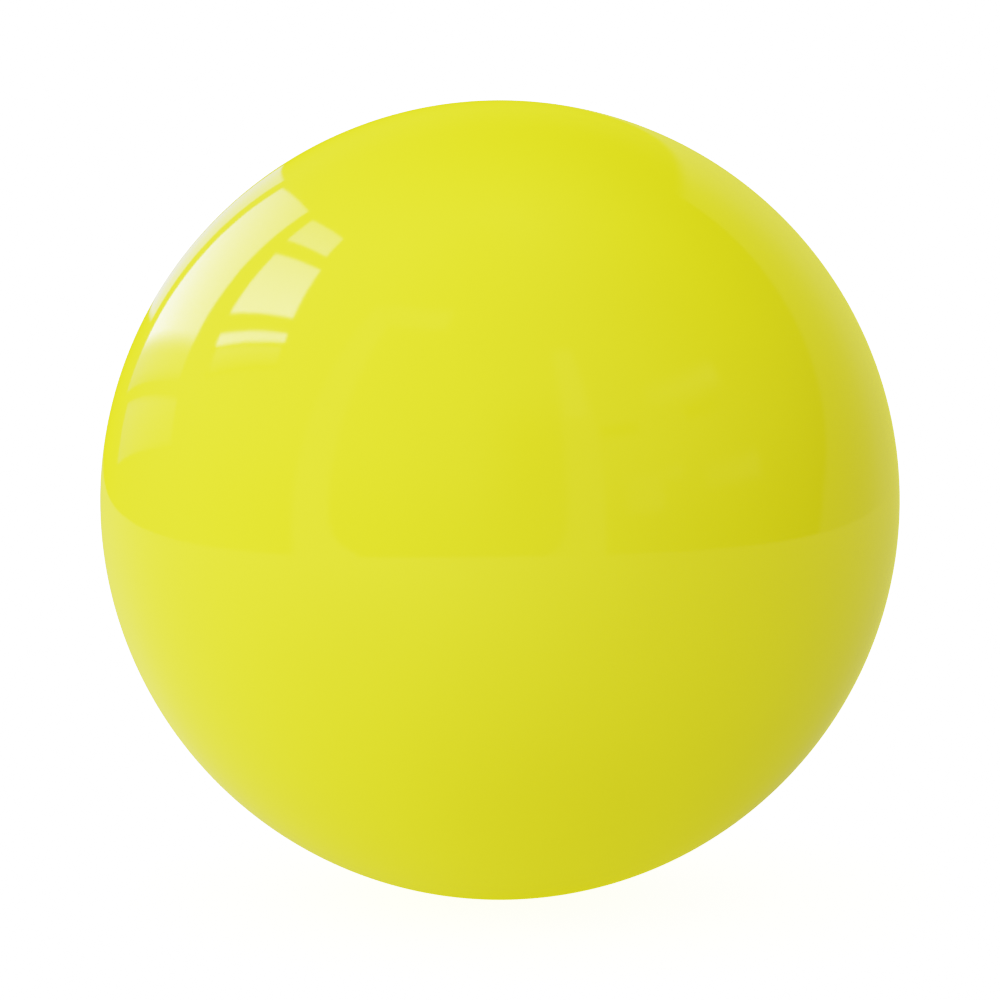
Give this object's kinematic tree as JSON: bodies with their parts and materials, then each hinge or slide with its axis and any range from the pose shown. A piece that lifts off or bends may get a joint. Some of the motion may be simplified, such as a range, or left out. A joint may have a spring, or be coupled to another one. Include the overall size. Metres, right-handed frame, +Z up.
{
  "type": "smooth golf ball",
  "caption": "Smooth gloss-lacquered golf ball for miniature golf: rubber core, mantle, moulded cover halves and lacquer, all bonded in layers.",
  "frame": {"origin": "centre of the ball", "axes": "+Z up through the cover's upper pole, so that the cover's parting plane is XY and the outer core's is YZ; the ball is round, so the other two directions are free"},
  "size_m": [0.0426, 0.0426, 0.0426],
  "materials": {
    "inner_rubber": "matte",
    "outer_rubber": "matte",
    "ionomer": "satin",
    "cover_urethane": "satin",
    "yellow_lacquer": "gloss",
    "clear_lacquer": "gloss"
  },
  "bodies": {
    "root": {"inner_core": "inner_rubber", "outer_core_left": "outer_rubber", "outer_core_right": "outer_rubber", "mantle": "ionomer", "cover_upper": "cover_urethane", "cover_lower": "cover_urethane", "colour_coat": "yellow_lacquer", "clear_coat": "clear_lacquer"}
  },
  "joints": []
}
